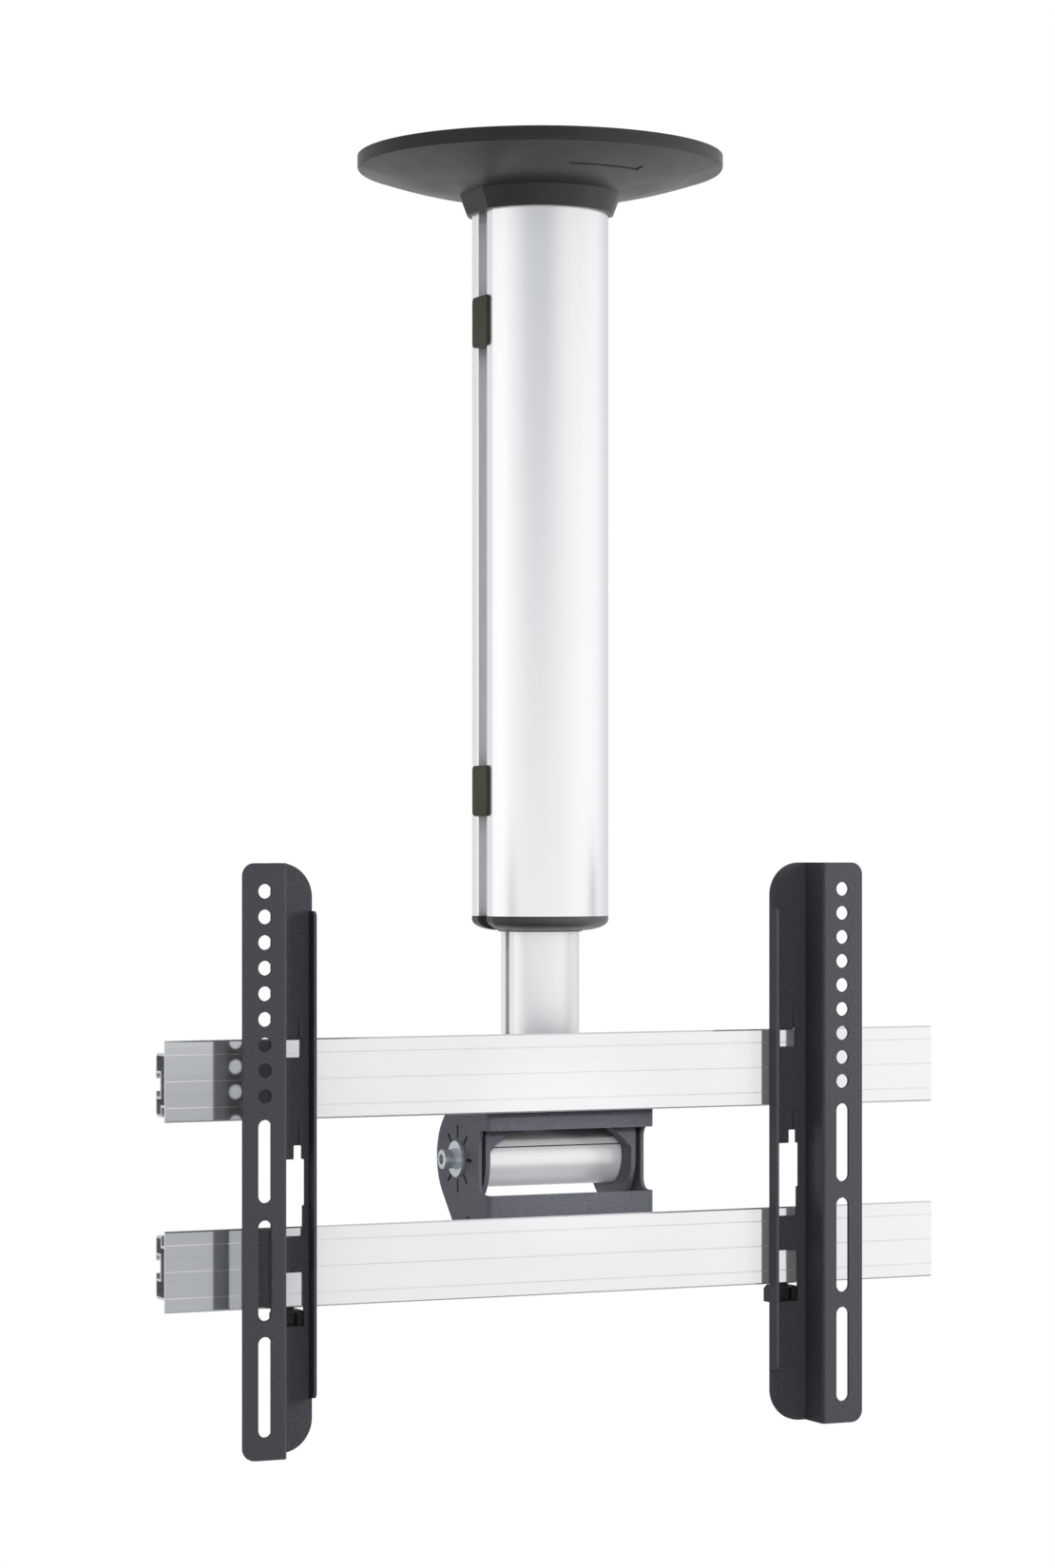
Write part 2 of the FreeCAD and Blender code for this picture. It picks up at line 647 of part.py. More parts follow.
def make_outer_column():
    body = new_body("outer_column")
    pad(body, "section", "XY", column_low, column_high,
        grooved(column_radius, column_flat, d.groove_mouth, d.groove_lip, d.groove_width, d.groove_depth))
    hollow_radius = column_radius - d.column_wall
    pocket_flat = column_flat - d.column_wall
    channel = d.groove_width / 2 + d.groove_wall
    rise = root(hollow_radius * hollow_radius - pocket_flat * pocket_flat)
    pocket(body, "hollow", "XY", column_low, column_high, path(
        (hollow_flat, -channel), (hollow_flat, channel), (pocket_flat, channel),
        (pocket_flat, rise, "arc", hollow_radius),
        (-pocket_flat, rise), (-pocket_flat, channel), (-hollow_flat, channel),
        (-hollow_flat, -channel), (-pocket_flat, -channel),
        (-pocket_flat, -rise, "arc", hollow_radius),
        (pocket_flat, -rise), (pocket_flat, -channel)))
    rings = []
    for x, y in port_places:
        rings += [circle(x, y, port_radius + d.port_wall), circle(x, y, port_radius)]
    pad(body, "ports", "XY", column_low, column_high, *rings)
    pocket(body, "lock_holes", "XZ", d.inner_width / 2, column_radius + d.lock_proud,
           *[circle(0, level, d.lock_bore / 2 + d.pin_gap) for level in lock_levels])
    mouth = d.groove_mouth / 2
    ease(body, "Fillet", "groove_edges", d.groove_edge,
         lambda edge: runs_along(edge, "z") and near(edge, x=column_flat, y=mouth))


def make_end_cap():
    body = new_body("column_end_cap")
    wall_low = column_low - d.cap_wall
    dome_low = wall_low - d.cap_dome
    nose_low = dome_low - d.cap_nose
    ring_radius, ring_flat = inner_radius + d.cap_ring, inner_flat + d.cap_ring
    pad(body, "wall", "XY", wall_low, column_low, flat_sided(column_radius, column_flat))
    rings = []
    for step in range(DOME_STEPS + 1):
        turned = math.radians(90 * step / DOME_STEPS)
        spread, sunk = math.cos(turned), math.sin(turned)
        radius = ring_radius + (column_radius - ring_radius) * spread
        flat = ring_flat + (column_flat - ring_flat) * spread
        rings.append((wall_low - d.cap_dome * sunk, flat_sided(radius, flat)))
    loft(body, "AdditiveLoft", "dome", rings, smooth=True)
    pad(body, "nose", "XY", nose_low, dome_low, flat_sided(ring_radius, ring_flat))
    pad(body, "spigot", "XY", column_low, column_low + d.cap_spigot, flat_sided(guide_radius, guide_flat))
    pocket(body, "inner_way", "XY", nose_low, column_low + d.cap_spigot,
           flat_sided(inner_radius + d.slip_gap, inner_flat + d.slip_gap))
    mouth = d.groove_mouth / 2
    inside = column_flat - d.cap_notch
    pocket(body, "cable_notches", "XY", nose_low, column_low,
           box(inside, column_radius, -mouth, mouth), box(-column_radius, -inside, -mouth, mouth))


def make_guide_bush():
    body = new_body("lower_guide_bush")
    high = bush_low + d.bush_length
    pad(body, "block", "XY", bush_low, high, flat_sided(guide_radius, guide_flat))
    pocket(body, "inner_way", "XY", bush_low, high,
           flat_sided(inner_radius + d.slip_gap, inner_flat + d.slip_gap))
    pocket(body, "lock_holes", "XZ", 0, column_radius,
           *[circle(0, level, d.lock_bore / 2 + d.slip_gap) for level in lock_levels])


def make_lock_screws():
    body = new_body("telescope_lock_screws")
    outside = column_radius + d.lock_proud
    pad(body, "shanks", "XZ", inner_radius + d.slip_gap, outside,
        *[circle(0, level, d.lock_bore / 2) for level in lock_levels])
    pocket(body, "sockets", "XZ", outside - d.lock_socket, outside,
           *[hexagon(0, level, d.lock_socket) for level in lock_levels])


def make_cable_clip(label, drop):
    """A plate over the groove's mouth, a neck in it and a foot behind its lips."""
    body = new_body(label, drop=drop)
    half = d.clip_height / 2
    face = -column_flat
    behind = face + d.groove_lip
    pad(body, "plate", "YZ", face - d.clip_thick, face,
        box(-d.clip_width / 2, d.clip_width / 2, -half, half))
    ease(body, "Fillet", "corners", d.clip_corner,
         lambda edge: runs_along(edge, "x") and near(edge, y=d.clip_width / 2))
    neck = d.groove_mouth / 2 - d.groove_edge - d.slip_gap
    pad(body, "neck", "YZ", face, behind + d.slip_gap, box(-neck, neck, -half, half))
    pad(body, "foot", "YZ", behind + d.slip_gap, behind + d.slip_gap + d.clip_thick,
        box(-d.clip_foot / 2, d.clip_foot / 2, -half, half))
    ease(body, "Fillet", "edge", d.clip_edge,
         lambda edge: near(edge, x=face - d.clip_thick))


def make_inner_column():
    body = new_body("inner_column")
    pad(body, "section", "XY", inner_low, inner_high,
        grooved(inner_radius, inner_flat, d.slit_mouth, d.slit_lip, d.slit_width, d.slit_depth))
    pocket(body, "hollow", "XY", inner_low, inner_high, flat_sided(inner_hollow_radius, inner_hollow_flat))


def make_guide_block():
    body = new_body("upper_guide_block")
    pad(body, "block", "XY", inner_high, inner_high + d.guide_height, flat_sided(guide_radius, guide_flat))
    pad(body, "spigot", "XY", inner_high - d.guide_spigot, inner_high,
        flat_sided(inner_hollow_radius - d.slip_gap, inner_hollow_flat - d.slip_gap))
    pocket(body, "cable_way", "XY", inner_high - d.guide_spigot, inner_high + d.guide_height,
           circle(0, 0, d.guide_bore / 2))


def make_swivel_plug():
    body = new_body("swivel_plug")
    pad(body, "flange", "XY", inner_low - d.plug_flange, inner_low, flat_sided(inner_radius, inner_flat))
    pad(body, "plug", "XY", inner_low, inner_low + d.plug_length,
        flat_sided(inner_hollow_radius - d.slip_gap, inner_hollow_flat - d.slip_gap))
    pocket(body, "thread", "XY", inner_low - d.plug_flange, inner_low + d.plug_length,
           circle(0, 0, d.swivel_bolt / 2 + d.pin_gap))


def make_swivel_bolt():
    body = new_body("swivel_bolt", drop=d.axis_drop)
    head_high = d.yoke_top - d.yoke_roof - d.face_gap
    head_low = head_high - d.swivel_head_height
    pad(body, "head", "XY", head_low, head_high, circle(0, 0, d.swivel_head / 2))
    pad(body, "shank", "XY", head_high, head_high + d.yoke_roof + d.plug_length, circle(0, 0, d.swivel_bolt / 2))
    pocket(body, "socket", "XY", head_low, head_low + d.swivel_head_height / 2,
           hexagon(0, 0, d.swivel_socket))


def make_swivel_washer():
    body = new_body("swivel_washer", drop=d.axis_drop)
    pad(body, "ring", "XY", d.yoke_top, d.yoke_top + d.swivel_washer_thick,
        circle(0, 0, d.swivel_washer_width / 2), circle(0, 0, d.swivel_bolt / 2 + d.pin_gap))


def make_tilt_yoke():
    """Two round-footed cheeks under a top plate, with an arched rib at the front and at the back."""
    body = new_body("tilt_yoke", drop=d.axis_drop)
    radius = d.yoke_radius
    pad(body, "block", "YZ", -yoke_half, yoke_half, path(
        (-radius, 0, "arc", radius), (0, -radius, "arc", radius), (radius, 0),
        (radius, d.yoke_top), (-radius, d.yoke_top)))
    roof = d.yoke_top - d.yoke_roof
    pocket(body, "room", "XZ", -radius + d.yoke_rib, radius - d.yoke_rib,
           box(-yoke_inside, yoke_inside, -radius, roof))
    arch = path(
        (-yoke_inside, -radius), (yoke_inside, -radius),
        (yoke_inside, d.arch_foot, "arc", d.arch_radius), (d.arch_half, d.arch_top),
        (-d.arch_half, d.arch_top, "arc", d.arch_radius), (-yoke_inside, d.arch_foot))
    pocket(body, "arch", "XZ", -radius, radius, arch)
    pocket(body, "pivot_hole", "YZ", -yoke_half, yoke_half, circle(0, 0, tilt_hole))
    pocket(body, "swivel_hole", "XY", roof, d.yoke_top, circle(0, 0, d.swivel_bolt / 2 + d.pin_gap))
    vents = []
    for step in (-1, 0, 1):
        middle = d.vent_pitch * step + d.vent_width
        half = d.vent_width / 2
        vents.append(box(middle - half, middle + half, -d.vent_top - d.vent_height, -d.vent_top))
    pocket(body, "vents", "YZ", -yoke_half, yoke_half, *vents)


def make_tilt_bar():
    """A round bar with two long flats that clear the yoke's arches, tapped at both ends."""
    body = new_body("tilt_bar", drop=d.axis_drop)
    radius = d.bar_width / 2
    side = root(radius * radius - d.bar_ridge * d.bar_ridge)
    top = root(radius * radius - d.bar_flat * d.bar_flat)
    pad(body, "section", "YZ", -yoke_inside, yoke_inside, path(
        (side, d.bar_ridge), (d.bar_flat, top, "arc", radius), (-d.bar_flat, top),
        (-side, d.bar_ridge, "arc", radius), (0, -radius, "arc", radius)))
    for name, low, high in (("left_thread", -yoke_inside, -yoke_inside + d.bar_bore),
                            ("right_thread", yoke_inside - d.bar_bore, yoke_inside)):
        pocket(body, name, "YZ", low, high, circle(0, 0, tilt_hole))


def make_tilt_side(name, side):
    """Bolt, washers and friction disc of one side. side is -1 on the left and 1 on the right."""
    cheek_outside = bracket_half
    washer_in = cheek_outside + d.face_gap
    washer_out = washer_in + d.washer_thick
    spring_out = washer_out + d.spring_washer_thick
    head_out = spring_out + d.tilt_head_height

    def span(first, second):
        return (first, second) if side > 0 else (-second, -first)

    disc = new_body("friction_disc_" + name, drop=d.axis_drop)
    pad(disc, "ring", "YZ", *span(yoke_half, bracket_inside - d.face_gap),
        circle(0, 0, d.disc_width / 2), circle(0, 0, tilt_hole))
    washer = new_body("tilt_washer_" + name, drop=d.axis_drop)
    pad(washer, "ring", "YZ", *span(washer_in, washer_out),
        circle(0, 0, d.washer_width / 2), circle(0, 0, tilt_hole))
    spring = new_body("spring_washer_" + name, drop=d.axis_drop)
    pad(spring, "ring", "YZ", *span(washer_out, spring_out),
        circle(0, 0, d.spring_washer_width / 2), circle(0, 0, tilt_hole))
    pocket(spring, "cut", "YZ", *span(washer_out, spring_out),
           box(-d.spring_washer_cut / 2, d.spring_washer_cut / 2, 0, d.spring_washer_width))
    bolt = new_body("tilt_bolt_" + name, drop=d.axis_drop)
    pad(bolt, "shank", "YZ", *span(yoke_inside - d.tilt_bolt_grip, spring_out), circle(0, 0, tilt_pin))
    pad(bolt, "head", "YZ", *span(spring_out, head_out), circle(0, 0, d.tilt_head / 2))
    pocket(bolt, "socket", "YZ", *span(head_out - d.tilt_socket_depth, head_out), hexagon(0, 0, d.tilt_socket))
    ease(bolt, "Fillet", "head_edge", d.tilt_head_edge,
         lambda edge: isinstance(edge.Curve, Part.Circle) and near(edge, x=head_out))


def make_tilt_bracket():
    """One folded sheet: a front plate between two cheeks, with a window that wraps into both."""
    body = new_body("tilt_bracket", drop=d.axis_drop)
    reach, half = d.bracket_reach, d.bracket_height / 2
    radius = d.cheek_radius
    shelf = -reach + d.bracket_shelf
    # The slanted edges touch the round of the cheek.
    span = shelf * shelf + half * half
    along = radius * radius / span
    aside = radius * root(span - radius * radius) / span
    touch_y = along * shelf + aside * half
    touch_z = along * half - aside * shelf
    pad(body, "block", "YZ", -bracket_half, bracket_half, path(
        (-reach, -half), (shelf, -half), (touch_y, -touch_z, "arc", radius), (radius, 0, "arc", radius),
        (touch_y, touch_z), (shelf, half), (-reach, half)))
    ease(body, "Fillet", "outer_bends", d.bracket_bend,
         lambda edge: runs_along(edge, "z") and near(edge, x=bracket_half, y=reach))
    pocket(body, "room", "XY", -half, half,
           box(-bracket_inside, bracket_inside, -reach + d.bracket_sheet, radius))
    ease(body, "Fillet", "inner_bends", d.bracket_bend - d.bracket_sheet,
         lambda edge: runs_along(edge, "z") and near(edge, x=bracket_inside, y=reach - d.bracket_sheet))
    window = d.window_height / 2
    corner = d.window_corner
    wrap = -reach + d.window_wrap
    past = -reach - d.bracket_sheet
    pocket(body, "window", "YZ", -bracket_half, bracket_half, path(
        (past, -window), (wrap - corner, -window, "arc", corner), (wrap, -window + corner),
        (wrap, window - corner, "arc", corner), (wrap - corner, window), (past, window)))
    pocket(body, "pivot_hole", "YZ", -bracket_half, bracket_half, circle(0, 0, tilt_hole))
    slit = pocket(body, "scale_slit", "YZ", -bracket_half, bracket_half,
                  box(-d.scale_slit / 2, d.scale_slit / 2, d.scale_inner, d.scale_outer))
    scale = body.newObject("PartDesign::PolarPattern", "tilt_scale")
    scale.Originals = [slit]
    tilt_axis = [item for item in body.Origin.OriginFeatures if item.Role == "X_Axis"][0]
    scale.Axis = (tilt_axis, [""])
    scale.Angle = 360
    bind(scale, "Occurrences", d.scale_count)
    body.Tip = scale
    doc.recompute()
    pocket(body, "peg_holes", "YZ", -bracket_half, bracket_half,
           *[circle(-d.peg_forward, d.peg_level * up, d.peg_hole / 2) for up in (-1, 1)])
    bolts = [circle(d.rail_bolt_spread * across, (d.rail_offset - slot_level) * up, d.rail_bolt / 2 + d.slip_gap)
             for across in (-1, 1) for up in (-1, 1)]
    pocket(body, "rail_holes", "XZ", -reach, -reach + d.bracket_sheet, *bolts)


def make_rail(label, up):
    """An extrusion with a hook-sided front wall and a slot at the back. up is -1 when turned over."""
    body = new_body(label, drop=d.axis_drop - d.rail_offset * up, ahead=rail_face)
    half = d.rail_height / 2
    crown, foot = half - d.rail_hook, -half + d.rail_brow
    depth, skin, wall, corner = d.rail_depth, d.rail_skin, d.rail_wall, d.rail_corner
    bevel = d.rail_bevel
    left, right = d.rail_shift - d.rail_length / 2, d.rail_shift + d.rail_length / 2
    lips = depth - wall
    room = lips - d.slot_room
    mouth, width = d.slot_mouth / 2, d.slot_width / 2
    middle = (crown + foot) / 2

    def upright(*corners):
        """Corners of a (depth, height) outline, turned over for the lower rail."""
        return path(*[(y, z * up) for y, z in corners])

    front = [(0, -half + bevel)]
    for place in RAIL_LINES:
        level = d.rail_height * place
        line = d.rail_line_width / 2
        front += [(0, level - line), (d.rail_line_depth, level), (0, level + line)]
    front += [(0, half - bevel)]
    pad(body, "section", "YZ", left, right, upright(
        *reversed(front), (bevel, -half), (skin, -half), (skin, foot),
        (depth - corner, foot), (depth, foot + corner),
        (depth, middle - mouth), (lips, middle - mouth), (lips, middle - width), (room, middle - width),
        (room, middle + width), (lips, middle + width), (lips, middle + mouth), (depth, middle + mouth),
        (depth, crown - corner), (depth - corner, crown), (skin, crown), (skin, half), (bevel, half)))
    inner = room - wall
    channel_in, channel_high = skin + d.channel_width, foot + d.channel_height
    pocket(body, "hollow", "YZ", left, right, upright(
        (skin, channel_high + wall), (channel_in + wall, channel_high + wall), (channel_in + wall, foot + wall),
        (depth - corner, foot + wall), (depth - wall, foot + corner), (depth - wall, middle - width - wall),
        (inner, middle - width - wall), (inner, middle + width + wall), (depth - wall, middle + width + wall),
        (depth - wall, crown - corner), (depth - corner, crown - wall), (skin, crown - wall)))
    pocket(body, "channel", "YZ", left, right, upright(
        (skin, foot), (channel_in, foot), (channel_in, channel_high), (skin, channel_high)))


def rail_bolt_places():
    level = d.rail_offset - slot_level
    return [(d.rail_bolt_spread * across, level * up) for across in (-1, 1) for up in (-1, 1)]


def make_rail_fixings():
    plate_back = -d.bracket_reach + d.bracket_sheet
    bolts = new_body("rail_bolts", drop=d.axis_drop)
    pad(bolts, "shanks", "XZ", plate_back - d.rail_bolt_length, plate_back,
        *[circle(x, z, d.rail_bolt / 2) for x, z in rail_bolt_places()])
    pad(bolts, "heads", "XZ", plate_back, plate_back + d.rail_bolt_head_height,
        *[hexagon(x, z, d.rail_bolt_head) for x, z in rail_bolt_places()])
    nuts = new_body("rail_slot_nuts", drop=d.axis_drop)
    lips = -d.bracket_reach - d.rail_wall
    outlines = []
    for x, z in rail_bolt_places():
        long, high = d.nut_length / 2, d.slot_width / 2 - d.slip_gap
        outlines += [box(x - long, x + long, z - high, z + high), circle(x, z, d.rail_bolt / 2 + d.pin_gap)]
    pad(nuts, "blocks", "XZ", lips - d.nut_thick, lips, *outlines)


def make_arm(label, side, across):
    """A folded arm. side is 1 on the right, where the front flange points to +X, and -1 on the left."""
    body = new_body(label, drop=d.axis_drop - d.arm_above, ahead=arm_back, across=across)
    height, sheet_thick, bend = d.arm_height, d.arm_sheet, d.arm_bend
    inner_bend = bend - sheet_thick
    web_out = d.arm_flange / 2
    web_in = web_out - sheet_thick
    edge = web_out + d.arm_plate
    depth = d.arm_depth
    top = 0

    def inward(length):
        """Distance from the hole line towards the middle of the mount."""
        return length * -side

    pad(body, "fold", "XY", -height, top, path(
        (inward(-web_out), -depth), (inward(web_out), -depth), (inward(web_out), -sheet_thick),
        (inward(edge), -sheet_thick), (inward(edge), top), (inward(web_in), top),
        (inward(web_in), -depth + sheet_thick), (inward(-web_out), -depth + sheet_thick)))
    ease(body, "Fillet", "outer_bends", bend, lambda line: runs_along(line, "z") and (
        near(line, x=web_out, y=depth) and (line.CenterOfMass.x * side < 0) or near(line, x=web_in, y=top)))
    ease(body, "Fillet", "inner_bends", inner_bend, lambda line: runs_along(line, "z") and (
        near(line, x=web_in, y=depth - sheet_thick) or near(line, x=web_out, y=sheet_thick)))
    ease(body, "Fillet", "flange_corners", d.arm_corner, lambda line: runs_along(line, "y") and (
        near(line, x=web_out, y=depth - sheet_thick / 2) and line.CenterOfMass.x * side > 0))
    ease(body, "Fillet", "shoulders", d.arm_shoulder, lambda line: runs_along(line, "y") and near(line, x=edge))

    lip_span = (inward(edge - sheet_thick), inward(edge))
    low, high = lip_span if side < 0 else reversed(lip_span)
    lip_high, lip_low = -d.lip_top, -height + d.lip_foot
    round_lip = d.lip_corner
    pad(body, "lip", "YZ", low, high, path(
        (top, lip_low), (top, lip_high), (-d.lip_depth + round_lip, lip_high, "arc", round_lip),
        (-d.lip_depth, lip_high - round_lip), (-d.lip_depth, lip_low + round_lip, "arc", round_lip),
        (-d.lip_depth + round_lip, lip_low)))

    front = (-depth, -depth + sheet_thick)
    radius = d.hole_width / 2
    pocket(body, "screen_holes", "XZ", *front,
           *[circle(0, -d.hole_first - d.hole_pitch * number, radius) for number in range(SCREEN_HOLES)])
    lengths = ((d.slot_one_top, d.slot_one_length), (d.slot_two_top, d.slot_two_length),
               (d.slot_three_top, d.slot_three_length))
    pocket(body, "screen_slots", "XZ", *front,
           *[slot(0, -start - length + radius, -start - radius, radius) for start, length in lengths])

    rear = (-sheet_thick, top)
    middle = inward(web_out + d.window_middle)
    axis = -d.arm_above
    rail_top = axis + d.rail_offset + d.rail_height / 2
    hook_level = rail_top + d.slip_gap
    half = d.hook_width / 2
    pocket(body, "hook_window", "XZ", *rear, box(middle - half, middle + half, rail_top - d.hook_window, hook_level))
    view_high, view_low, view_half = axis + d.view_top, axis - d.view_foot, d.view_width / 2
    notch_left = middle + d.notch_shift - d.notch_width / 2
    notch_right = notch_left + d.notch_width
    notch_high = view_high + d.notch_height
    step = axis - d.view_step_level
    pocket(body, "middle_window", "XZ", *rear, path(
        (middle - view_half, view_low), (middle + view_half - d.view_step, view_low),
        (middle + view_half - d.view_step, step), (middle + view_half, step),
        (middle + view_half, view_high), (notch_right, view_high),
        (notch_right, notch_high), (notch_left, notch_high),
        (notch_left, view_high), (middle - view_half, view_high)))
    latch_half = d.latch_window_width / 2
    pocket(body, "latch_window", "XZ", *rear,
           box(middle - latch_half, middle + latch_half, axis - d.latch_window_foot, axis - d.latch_window_top))
    ease(body, "Fillet", "window_corners", d.view_corner, lambda line: runs_along(line, "y") and (
        near(line, y=sheet_thick / 2) and line.CenterOfMass.z < value_of(hook_level)
        and abs(line.CenterOfMass.x) < value_of(edge - sheet_thick)
        and abs(line.CenterOfMass.x) > value_of(web_out)))

    # The hook runs back over the rail's front wall and down behind it.
    back = d.slip_gap * 2 + d.rail_skin
    pad(body, "hook", "YZ", middle - half, middle + half, path(
        (-sheet_thick, hook_level), (back, hook_level), (back, hook_level - d.hook_drop),
        (back + sheet_thick, hook_level - d.hook_drop), (back + sheet_thick, hook_level + sheet_thick),
        (-sheet_thick, hook_level + sheet_thick)))
    for name, level in (("hook_ramp", hook_level), ("notch_ramp", notch_high)):
        low_x = middle + d.ramp_shift - d.ramp_width / 2
        pad(body, name, "YZ", low_x, low_x + d.ramp_width, path(
            (-sheet_thick - d.ramp_rise, level + d.slip_gap), (-sheet_thick, level + d.slip_gap),
            (-sheet_thick, level + d.ramp_height)))


def latch_foot():
    """Tilt axis down to the foot of the latch's block."""
    return d.rail_offset + d.rail_height / 2 + d.latch_gap + d.latch_height


def make_latch(name, side, across):
    """A latch that slides down the back of its arm, and the headed stud on the arm that guides it."""
    middle = (d.arm_flange / 2 + d.window_middle) * -side
    latch = new_body("latch_" + name, drop=d.axis_drop, ahead=rail_face, across=across)
    foot = -latch_foot()
    head = foot + d.latch_height
    half, chamfer = d.latch_width / 2, d.latch_chamfer
    front = 0
    pad(latch, "block", "XZ", front, d.latch_depth, path(
        (middle - half, foot), (middle + half, foot), (middle + half, head - chamfer),
        (middle + half - chamfer, head), (middle - half + chamfer, head), (middle - half, head - chamfer)))
    behind = d.rail_skin + d.slip_gap
    pad(latch, "tongue", "XZ", behind, behind + d.latch_tongue,
        box(middle - half + chamfer, middle + half - d.latch_shoulder, head, head + d.latch_grip + d.latch_gap))
    stem, stem_low = d.latch_stem / 2, foot - d.latch_stem_length
    pad(latch, "stem", "XZ", front, d.latch_stem_thick, box(middle - stem, middle + stem, stem_low, foot))
    screw_level = foot - d.latch_screw_level
    pocket(latch, "guide_slot", "XZ", front, d.latch_stem_thick,
           slot(middle, screw_level, screw_level + d.latch_travel, d.latch_screw / 2 + d.slip_gap))
    centre, hole = foot + d.latch_height / 2, d.latch_hole / 2
    pocket(latch, "recess", "XZ", front, d.latch_recess,
           box(middle - hole, middle + hole, centre - hole, centre + hole))
    screw = new_body("latch_screw_" + name, drop=d.axis_drop, ahead=rail_face, across=across)
    seat = d.latch_stem_thick + d.face_gap
    pad(screw, "shank", "XZ", -d.slip_gap, seat, circle(middle, screw_level, d.latch_screw / 2))
    pad(screw, "head", "XZ", seat, seat + d.latch_screw_head_height,
        circle(middle, screw_level, d.latch_screw_head / 2))
    pocket(screw, "socket", "XZ", seat + d.latch_screw_head_height / 2, seat + d.latch_screw_head_height,
           hexagon(middle, screw_level, d.latch_screw * 2 / 3))


make_ceiling_plate()
make_column_screws()
make_ceiling_cover()
make_outer_column()
make_end_cap()
make_guide_bush()
make_lock_screws()
make_cable_clip("cable_clip_upper", d.clip_upper)
make_cable_clip("cable_clip_lower", d.clip_lower)
make_inner_column()
make_guide_block()
make_swivel_plug()
make_swivel_bolt()
make_swivel_washer()
make_tilt_yoke()
make_tilt_bar()
make_tilt_side("left", -1)
make_tilt_side("right", 1)
make_tilt_bracket()
make_rail("upper_rail", 1)
make_rail("lower_rail", -1)
make_rail_fixings()
make_arm("left_arm", -1, d.arm_left)
make_arm("right_arm", 1, d.arm_right)
make_latch("left", -1, d.arm_left)
make_latch("right", 1, d.arm_right)

doc.recompute()
for item in doc.Objects:
    if "Invalid" in item.State or "Error" in item.State:
        raise ValueError("%s failed: %s" % (item.Name, item.State))
os.makedirs("parts", exist_ok=True)
for body in parts:
    if body.Shape.isNull() or not body.Shape.isValid():
        raise ValueError("%s has no valid shape" % body.Label)
for body in parts:
    body.Shape.exportStep("parts/%s.step" % body.Label)
    print("%-24s %9.1f mm3, %d solid(s)" % (body.Label, body.Shape.Volume, len(body.Shape.Solids)))
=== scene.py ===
import math

import bmesh
import bpy
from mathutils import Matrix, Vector


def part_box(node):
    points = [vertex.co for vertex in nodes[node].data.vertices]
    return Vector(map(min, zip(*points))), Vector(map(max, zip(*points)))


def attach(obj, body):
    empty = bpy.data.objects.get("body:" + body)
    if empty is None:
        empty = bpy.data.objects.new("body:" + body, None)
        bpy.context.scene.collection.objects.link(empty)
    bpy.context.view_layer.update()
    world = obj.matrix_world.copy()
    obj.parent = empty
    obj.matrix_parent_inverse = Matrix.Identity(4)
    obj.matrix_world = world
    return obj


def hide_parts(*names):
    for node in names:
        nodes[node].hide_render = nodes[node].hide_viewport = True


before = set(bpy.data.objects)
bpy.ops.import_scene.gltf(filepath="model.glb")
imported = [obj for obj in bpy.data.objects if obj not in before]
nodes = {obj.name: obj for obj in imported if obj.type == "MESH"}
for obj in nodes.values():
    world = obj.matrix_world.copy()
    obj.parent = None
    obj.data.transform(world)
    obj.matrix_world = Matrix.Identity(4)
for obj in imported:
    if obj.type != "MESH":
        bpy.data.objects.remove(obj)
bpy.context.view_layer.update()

# The size of the solids, before anything is added.
MM = 0.001
AXIS_LEVEL = -835 * MM


def add_node(tree, kind, **settings):
    """A new node of a material or world, with its plain settings."""
    made = tree.nodes.new(kind)
    for key, value in settings.items():
        setattr(made, key, value)
    return made


def add_object(name, data):
    """A new object in the scene."""
    made = bpy.data.objects.new(name, data)
    bpy.context.scene.collection.objects.link(made)
    return made


# Materials.

